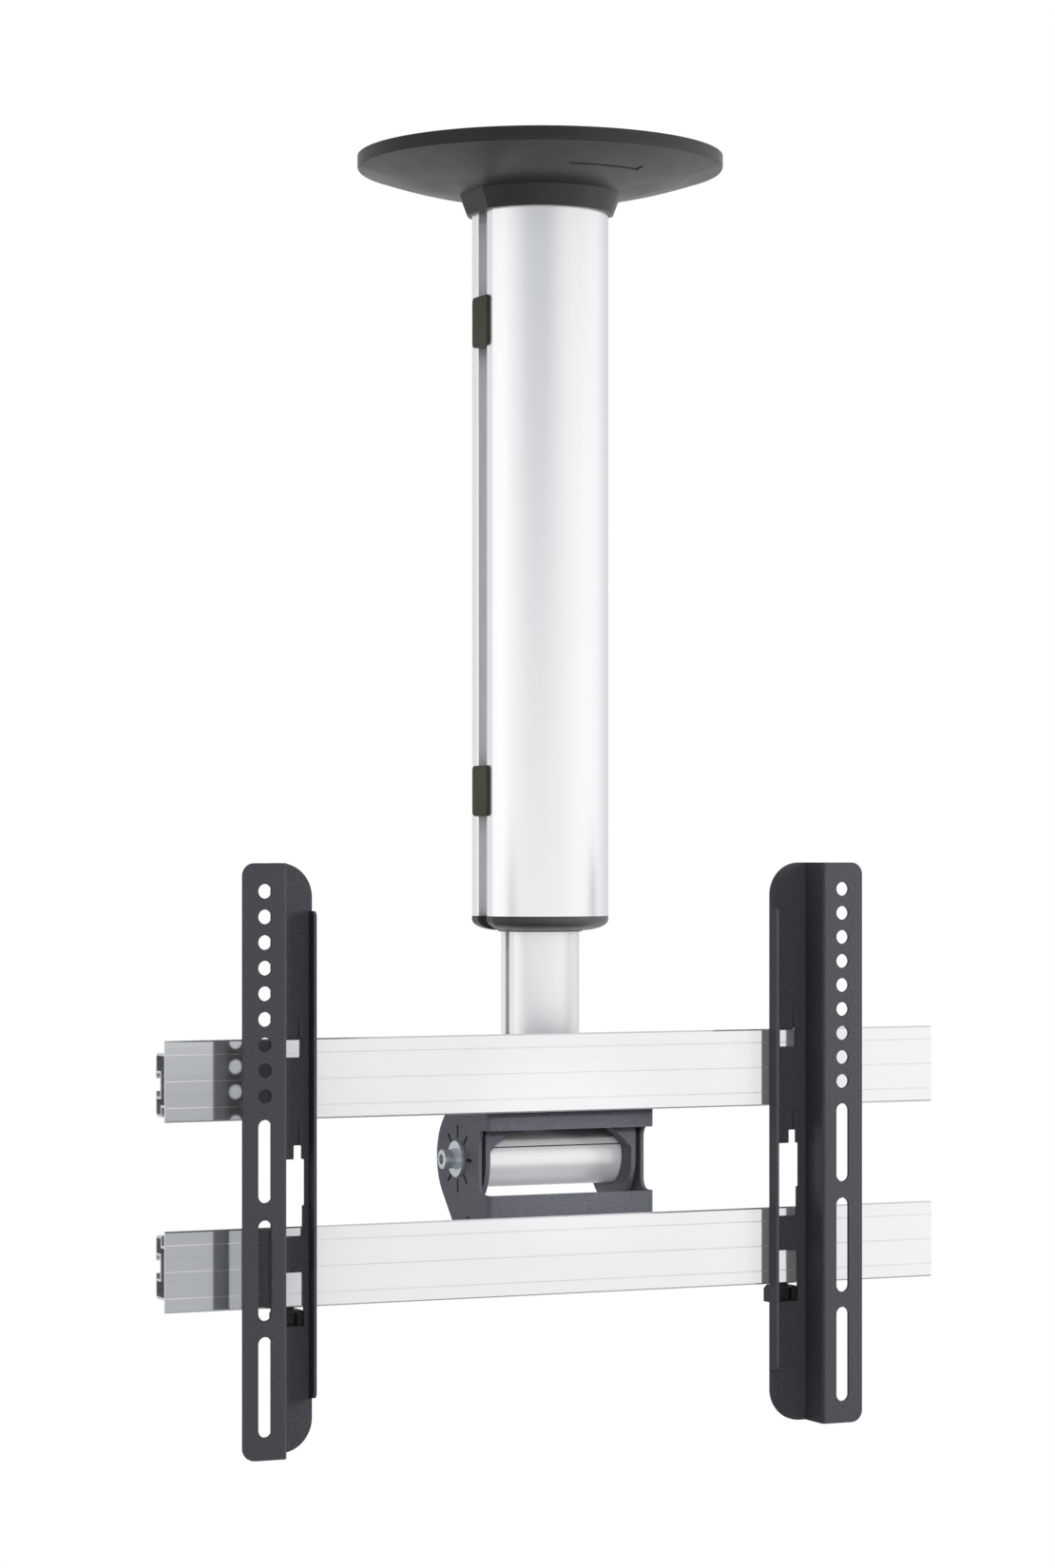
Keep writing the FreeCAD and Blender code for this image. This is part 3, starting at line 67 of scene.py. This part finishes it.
class Shader:
    """One material and the nodes that build it."""

    def __init__(self, name):
        self.material = bpy.data.materials.new(name)
        self.material.use_nodes = True
        self.tree = self.material.node_tree
        self.tree.nodes.clear()
        self.output = self.node("ShaderNodeOutputMaterial")
        self.surface = self.node("ShaderNodeBsdfPrincipled")
        self.link(self.surface.outputs["BSDF"], self.output.inputs["Surface"])
        self.place = self.node("ShaderNodeTexCoord").outputs["Object"]

    def node(self, kind, **settings):
        return add_node(self.tree, kind, **settings)

    def link(self, source, target):
        self.tree.links.new(source, target)

    def set(self, **values):
        """Sets sockets of the main shader, with _ for a space in the name."""
        for key, value in values.items():
            self.surface.inputs[key.replace("_", " ")].default_value = value

    def stretched(self, scale):
        """The object's own coordinates, scaled along each axis."""
        mapping = self.node("ShaderNodeMapping")
        mapping.inputs["Scale"].default_value = scale
        self.link(self.place, mapping.inputs["Vector"])
        return mapping.outputs["Vector"]

    def noise(self, scale, detail=3.0, roughness=0.5):
        made = self.node("ShaderNodeTexNoise")
        for name, value in (("Scale", 1.0), ("Detail", detail), ("Roughness", roughness)):
            made.inputs[name].default_value = value
        self.link(self.stretched(scale), made.inputs["Vector"])
        return made.outputs["Fac"]

    def between(self, factor, low, high, start=0.35, end=0.65):
        """Spreads a factor between two numbers."""
        spread = self.node("ShaderNodeMapRange")
        ends = (("From Min", start), ("From Max", end), ("To Min", low), ("To Max", high))
        for name, value in ends:
            spread.inputs[name].default_value = value
        self.link(factor, spread.inputs["Value"])
        return spread.outputs["Result"]

    def colours(self, factor, low, high, start=0.35, end=0.65):
        """Spreads a factor between two colours."""
        ramp = self.node("ShaderNodeValToRGB")
        first, last = ramp.color_ramp.elements
        first.position, last.position = start, end
        first.color, last.color = (*low, 1), (*high, 1)
        self.link(factor, ramp.inputs["Fac"])
        return ramp.outputs["Color"]

    def bump(self, height, strength, distance):
        made = self.node("ShaderNodeBump")
        made.inputs["Strength"].default_value = strength
        made.inputs["Distance"].default_value = distance
        self.link(height, made.inputs["Height"])
        self.link(made.outputs["Normal"], self.surface.inputs["Normal"])

    def colour_from(self, socket):
        self.link(socket, self.surface.inputs["Base Color"])

    def roughness_from(self, socket):
        self.link(socket, self.surface.inputs["Roughness"])


def powder_coat(name, dark, light, gloss=0.3, grain=620.0):
    """Black powder coat: a satin skin with a pebbled grain."""
    shader = Shader(name)
    shader.set(Specular_IOR_Level=gloss)
    pebbles = shader.noise((grain, grain, grain), detail=4.0, roughness=0.75)
    shader.colour_from(shader.colours(pebbles, dark, light, start=0.3, end=0.7))
    shader.roughness_from(shader.between(pebbles, low=0.58, high=0.46))
    shader.bump(pebbles, strength=0.6, distance=0.0002)
    return shader.material


def moulded(name, dark, light, low, high, gloss=0.5):
    """Moulded plastic with a fine grain. low and high are its roughness."""
    shader = Shader(name)
    shader.set(Specular_IOR_Level=gloss)
    grains = shader.noise((1500, 1500, 1500), roughness=0.6)
    clouds = shader.noise((30, 30, 30))
    shader.colour_from(shader.colours(grains, dark, light, start=0.3, end=0.7))
    shader.roughness_from(shader.between(clouds, low, high))
    shader.bump(grains, strength=0.25, distance=0.00006)
    return shader.material


def drawn_metal(name, streak_scale, base, low, high, metallic, lines=0.04):
    """Anodised extrusion: a pale skin with fine lines along the way it was drawn."""
    shader = Shader(name)
    shader.set(Metallic=metallic)
    streaks = shader.noise(streak_scale, detail=5.0, roughness=0.65)
    dark = (base * 0.965, base * 0.97, base * 0.98)
    light = (base * 0.995, base, base * 1.01)
    shader.colour_from(shader.colours(streaks, dark, light, start=0.25, end=0.75))
    shader.roughness_from(shader.between(streaks, low, high, start=0.25, end=0.75))
    shader.bump(streaks, strength=lines, distance=0.00003)
    return shader.material


def plated(name, tint, low=0.26, high=0.36):
    """Zinc plating, slightly blue, with small clouds."""
    shader = Shader(name)
    shader.set(Metallic=0.7)
    clouds = shader.noise((260, 260, 260), detail=4.0, roughness=0.6)
    shader.colour_from(shader.colours(clouds, [value * 0.86 for value in tint], tint))
    shader.roughness_from(shader.between(clouds, low, high))
    shader.bump(clouds, strength=0.06, distance=0.00003)
    return shader.material


# Streaks along Z on the columns, and along X on the rails and the bar.
LONG_Z = (700, 700, 4)
LONG_X = (4, 900, 900)

cover_black = moulded("cover_black", (0.034, 0.034, 0.037), (0.056, 0.056, 0.061),
                      low=0.30, high=0.38, gloss=0.2)
cap_black = moulded("cap_black", (0.070, 0.069, 0.074), (0.110, 0.108, 0.116),
                    low=0.32, high=0.38, gloss=0.3)
guide_black = moulded("guide_black", (0.026, 0.026, 0.026), (0.034, 0.034, 0.034),
                      low=0.45, high=0.55)
clip_olive = moulded("clip_olive", (0.032, 0.035, 0.014), (0.044, 0.048, 0.020),
                     low=0.4, high=0.5, gloss=0.25)
arm_black = powder_coat("arm_black", (0.056, 0.056, 0.065), (0.120, 0.122, 0.139),
                        gloss=0.08, grain=800.0)
head_black = powder_coat("head_black", (0.090, 0.093, 0.111), (0.165, 0.170, 0.198),
                         gloss=0.12, grain=800.0)
latch_black = powder_coat("latch_black", (0.012, 0.012, 0.012), (0.022, 0.022, 0.022))
column_metal = drawn_metal("column_metal", LONG_Z, base=0.98, low=0.33, high=0.36, metallic=0.95)
inner_metal = drawn_metal("inner_metal", LONG_Z, base=0.98, low=0.44, high=0.48, metallic=0.96)
rail_metal = drawn_metal("rail_metal", LONG_X, base=0.90, low=0.07, high=0.10, metallic=0.75,
                         lines=0.02)
# A dark copy of the bar's metal for the faces in the bar's line: painted shade in the groove.
bar_groove_painted_shade = drawn_metal("bar_groove_painted_shade", LONG_X, base=0.10, low=0.5, high=0.6, metallic=0.5)
bar_metal = drawn_metal("bar_metal", LONG_X, base=0.93, low=0.34, high=0.38, metallic=0.35)
zinc = plated("zinc", (0.66, 0.71, 0.74))
plate_zinc = plated("plate_zinc", (0.55, 0.56, 0.58), low=0.35, high=0.5)

FINISHES = {
    "ceiling_plate": plate_zinc, "column_screws": zinc, "ceiling_cover": cover_black,
    "outer_column": column_metal, "column_end_cap": cap_black, "lower_guide_bush": guide_black,
    "telescope_lock_screws": zinc, "cable_clip_upper": clip_olive, "cable_clip_lower": clip_olive,
    "inner_column": inner_metal, "upper_guide_block": guide_black, "swivel_plug": plate_zinc,
    "swivel_bolt": zinc, "swivel_washer": guide_black, "tilt_yoke": head_black,
    "tilt_bar": bar_metal, "friction_disc_left": guide_black, "friction_disc_right": guide_black,
    "tilt_washer_left": zinc, "tilt_washer_right": zinc, "spring_washer_left": zinc,
    "spring_washer_right": zinc, "tilt_bolt_left": zinc, "tilt_bolt_right": zinc,
    "tilt_bracket": head_black, "upper_rail": rail_metal, "lower_rail": rail_metal,
    "rail_bolts": zinc, "rail_slot_nuts": zinc, "left_arm": arm_black, "right_arm": arm_black,
    "latch_left": latch_black, "latch_right": latch_black,
    "latch_screw_left": latch_black, "latch_screw_right": latch_black,
}
for name, piece in nodes.items():
    if not piece.material_slots:
        piece.data.materials.append(FINISHES[name])
    for place in piece.material_slots:
        place.material = FINISHES[name]


def make_bar():
    """The cross bar: round, with a fine flat-bottomed line along its front and back, whose faces
    are painted dark as shade.
    """
    low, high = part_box("tilt_bar")
    radius, chamfer, marks_round = 24 * MM, 0.6 * MM, 144
    line_level, line_depth, line_half = 10 * MM, 0.8 * MM, 0.55 * MM
    line_angle = math.asin(line_level / radius)
    step = line_half / radius
    floor_step, clear_step = 0.9 * step, 2.5 * step
    marks = [(2 * math.pi * number / marks_round, radius) for number in range(marks_round)]
    for centre in (line_angle, math.pi - line_angle):
        marks = [mark for mark in marks if abs(mark[0] - centre) > clear_step]
        marks += [(centre - step, radius), (centre - floor_step, radius - line_depth),
                  (centre + floor_step, radius - line_depth), (centre + step, radius)]
    marks.sort()
    rings = [(low[0], chamfer), (low[0] + chamfer, 0), (high[0] - chamfer, 0), (high[0], chamfer)]
    mesh = bmesh.new()
    loops = []
    for across, smaller in rings:
        loops.append([mesh.verts.new((across, math.cos(angle) * (size - smaller),
                                      AXIS_LEVEL + math.sin(angle) * (size - smaller)))
                      for angle, size in marks])
    count = len(marks)
    for first, second in zip(loops, loops[1:]):
        for number in range(count):
            following = (number + 1) % count
            mesh.faces.new((first[number], first[following], second[following], second[number]))
    mesh.faces.new(loops[0])
    mesh.faces.new(loops[-1])
    bmesh.ops.recalc_face_normals(mesh, faces=mesh.faces[:])
    data = bpy.data.meshes.new("cross_bar")
    mesh.to_mesh(data)
    mesh.free()
    bar = add_object("cross_bar", data)
    data.materials.append(bar_metal)
    data.materials.append(bar_groove_painted_shade)
    # Faces inside the line take the second, dark material: painted shade in the groove.
    for face in data.polygons:
        middle = Vector((face.center.y, face.center.z - AXIS_LEVEL))
        between_ends = low[0] + chamfer < face.center.x < high[0] - chamfer
        if between_ends and middle.length < radius - 0.5 * line_depth:
            face.material_index = 1
    data.shade_smooth()
    data.set_sharp_from_angle(angle=math.radians(30))
    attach(bar, "yoke")
    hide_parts("tilt_bar")


make_bar()


# Camera, from a fit to the photograph. Pixels are of the 1110 x 1650 frame.
PHOTO_WIDTH, PHOTO_HEIGHT = 1110, 1650
SENSOR = 36.0
FOCAL_PIXELS = 4325.7
TURN = math.radians(24.65)
DISTANCE = 3.4375
CAMERA_LEVEL = -0.581
AXIS_PIXEL, HORIZON_PIXEL = 568.3, 896.8
camera_data = bpy.data.cameras.new("camera")
camera = add_object("camera", camera_data)
camera_data.sensor_width = SENSOR
camera_data.lens = FOCAL_PIXELS * SENSOR / PHOTO_HEIGHT
camera_data.shift_x = (PHOTO_WIDTH / 2 - AXIS_PIXEL) / PHOTO_HEIGHT
camera_data.shift_y = (HORIZON_PIXEL - PHOTO_HEIGHT / 2) / PHOTO_HEIGHT
camera.location = (-DISTANCE * math.sin(TURN), -DISTANCE * math.cos(TURN), CAMERA_LEVEL)
camera.rotation_euler = (math.pi / 2, 0, -TURN)
bpy.context.scene.camera = camera


def any_direct_look(tree):
    """1 for what the camera, a reflection or a transmission sees, and 0 for light on the object."""
    path = add_node(tree, "ShaderNodeLightPath")
    total = path.outputs["Is Camera Ray"]
    for name in ("Is Glossy Ray", "Is Transmission Ray"):
        larger = add_node(tree, "ShaderNodeMath", operation="MAXIMUM")
        tree.links.new(total, larger.inputs[0])
        tree.links.new(path.outputs[name], larger.inputs[1])
        total = larger.outputs[0]
    return total


def make_world(light_strength, seen_strength=1.0):
    """World: white to see, and dimmer as light."""
    world = bpy.data.worlds.new("studio")
    bpy.context.scene.world = world
    world.use_nodes = True
    tree = world.node_tree
    tree.nodes.clear()
    output = add_node(tree, "ShaderNodeOutputWorld")
    mix = add_node(tree, "ShaderNodeMixShader")
    tree.links.new(any_direct_look(tree), mix.inputs[0])
    for place, strength in ((1, light_strength), (2, seen_strength)):
        background = add_node(tree, "ShaderNodeBackground")
        background.inputs["Color"].default_value = (1, 1, 1, 1)
        background.inputs["Strength"].default_value = strength
        tree.links.new(background.outputs[0], mix.inputs[place])
    tree.links.new(mix.outputs[0], output.inputs["Surface"])


make_world(light_strength=0.30)


def square(half, level):
    """The corners of a level square about the column's axis."""
    return [(-half, -half, level), (half, -half, level), (half, half, level), (-half, half, level)]


def make_floor(half, level, share, strength):
    """Floor, well below the hanging object: grey as light, and seen mostly as a white glow."""
    mesh = bpy.data.meshes.new("floor")
    mesh.from_pydata(square(half, level), [], [(0, 1, 2, 3)])
    floor = add_object("floor", mesh)
    shader = Shader("floor_pale")
    shader.set(Base_Color=(0.5, 0.5, 0.5, 1), Roughness=0.9, Specular_IOR_Level=0.0)
    glow = shader.node("ShaderNodeEmission")
    glow.inputs["Strength"].default_value = strength
    seen = shader.node("ShaderNodeMath", operation="MULTIPLY")
    seen.inputs[1].default_value = share
    shader.link(any_direct_look(shader.tree), seen.inputs[0])
    mix = shader.node("ShaderNodeMixShader")
    shader.link(seen.outputs[0], mix.inputs[0])
    shader.link(shader.surface.outputs[0], mix.inputs[1])
    shader.link(glow.outputs[0], mix.inputs[2])
    shader.link(mix.outputs[0], shader.output.inputs["Surface"])
    mesh.materials.append(shader.material)


make_floor(half=60.0, level=-2.4, share=0.95, strength=1.045)


# Grey cloths that only reflections see, as in a photo studio. A tone is 1 where a cloth ends.
CLOTH_RADIUS = 4.5


def fade(value, start, end):
    """0 before start, 1 after end, and smooth between them. start may be the larger."""
    share = min(1.0, max(0.0, (value - start) / (end - start)))
    return share * share * (3 - 2 * share)


def front_tone(turn, level):
    """Turn is in degrees to the right of the camera, as seen from the column.

    The broad part high up shades the column, and the small one low down the rails.
    """
    broad = fade(turn, -48, -14) * fade(turn, 52, 4) * fade(level, -0.30, 0.75)
    small = fade(turn, 31, 39) * fade(turn, 42.6, 42.2)
    small *= fade(level, -0.90, -0.97) * fade(level, -1.65, -1.5)
    return min(1 - 0.72 * broad, 1 - 0.57 * small)


def back_tone(turn, level):
    return 1 - 0.30 * fade(turn, 112, 135) * fade(turn, 248, 225)


def hang_cloth(name, places, tones, faces):
    mesh = bpy.data.meshes.new(name)
    mesh.from_pydata(places, [], faces)
    attribute = mesh.color_attributes.new("tone", "FLOAT_COLOR", "POINT")
    for number, value in enumerate(tones):
        # A grey is slightly blue.
        missing = 1 - value
        attribute.data[number].color = (value, value + missing * 0.05, value + missing * 0.10, 1)
    cloth = add_object(name, mesh)
    for kind in ("camera", "diffuse", "transmission", "volume_scatter", "shadow"):
        setattr(cloth, "visible_" + kind, False)
    shader = Shader(name)
    colour = shader.node("ShaderNodeVertexColor", layer_name="tone")
    glow = shader.node("ShaderNodeEmission")
    shader.link(colour.outputs["Color"], glow.inputs["Color"])
    shader.link(glow.outputs[0], shader.output.inputs["Surface"])
    shader.material.cycles.emission_sampling = "NONE"
    mesh.materials.append(shader.material)


def make_level_cloth(name, half, level, tone):
    hang_cloth(name, square(half, level), [tone] * 4, [(0, 1, 2, 3)])


def make_cloth(name, first, last, low, high, tone, steps=150, rows=60):
    """An upright cloth round the column, from one turn to another and between two levels."""
    places, tones, faces = [], [], []
    for row in range(rows + 1):
        level = low + (high - low) * row / rows
        for step in range(steps + 1):
            turn = first + (last - first) * step / steps
            angle = math.radians(270 + turn) - TURN
            places.append((CLOTH_RADIUS * math.cos(angle), CLOTH_RADIUS * math.sin(angle), level))
            tones.append(tone(turn, level))
    for row in range(rows):
        for step in range(steps):
            corner = row * (steps + 1) + step
            faces.append((corner, corner + 1, corner + steps + 2, corner + steps + 1))
    hang_cloth(name, places, tones, faces)


make_cloth("front_cloth", first=-50, last=55, low=-2.2, high=6.0, tone=front_tone)
make_cloth("back_cloth", first=110, last=250, low=-2.3, high=6.0, tone=back_tone)
make_level_cloth("upper_cloth", half=2.5, level=0.7, tone=0.6)
make_level_cloth("lower_cloth", half=1.6, level=-2.35, tone=0.4)


# Lamps, in metres, watts and degrees. The camera sees none, and reflections only the first.

def hang_lamp(name, kind, place, aim, power, glossy):
    data = bpy.data.lights.new(name, kind)
    data.energy = power
    lamp = add_object(name, data)
    lamp.location = place
    lamp.rotation_euler = (Vector(aim) - Vector(place)).to_track_quat("-Z", "Y").to_euler()
    lamp.visible_camera = False
    lamp.visible_glossy = glossy
    return data


def area_light(name, place, aim, size, power, glossy=False):
    data = hang_lamp(name, "AREA", place, aim, power, glossy)
    data.shape = "RECTANGLE"
    data.size, data.size_y = size


def small_light(name, place, aim, half_angle, power):
    data = hang_lamp(name, "SPOT", place, aim, power, glossy=False)
    data.shadow_soft_size = 0.03
    data.spot_size = math.radians(2 * half_angle)
    data.spot_blend = 0.6


area_light("soft_left", place=(-3.3, 0.2, 0.1), aim=(0, 0, -0.6), size=(1.6, 3.0), power=2.4,
           glossy=True)
area_light("key_right", place=(1.3, -0.88, -0.42), aim=(0.1, 0, -0.8), size=(0.5, 0.8), power=19.5)
area_light("front", place=(-0.2, -2.9, -0.10), aim=(0, 0, -0.83), size=(0.6, 0.5), power=18.0)
area_light("behind", place=(-0.8, 2.2, -0.9), aim=(0, 0, -0.8), size=(0.9, 0.9), power=12.0)
small_light("head_side", place=(-2.0, 0.3, -0.82), aim=(0, 0, -0.835), half_angle=3.2, power=19.0)
small_light("head_front", place=(-1.0, -2.5, -0.20), aim=(0.005, -0.03, -0.832), half_angle=1.9,
            power=94.0)

bpy.context.scene.view_settings.view_transform = "Standard"
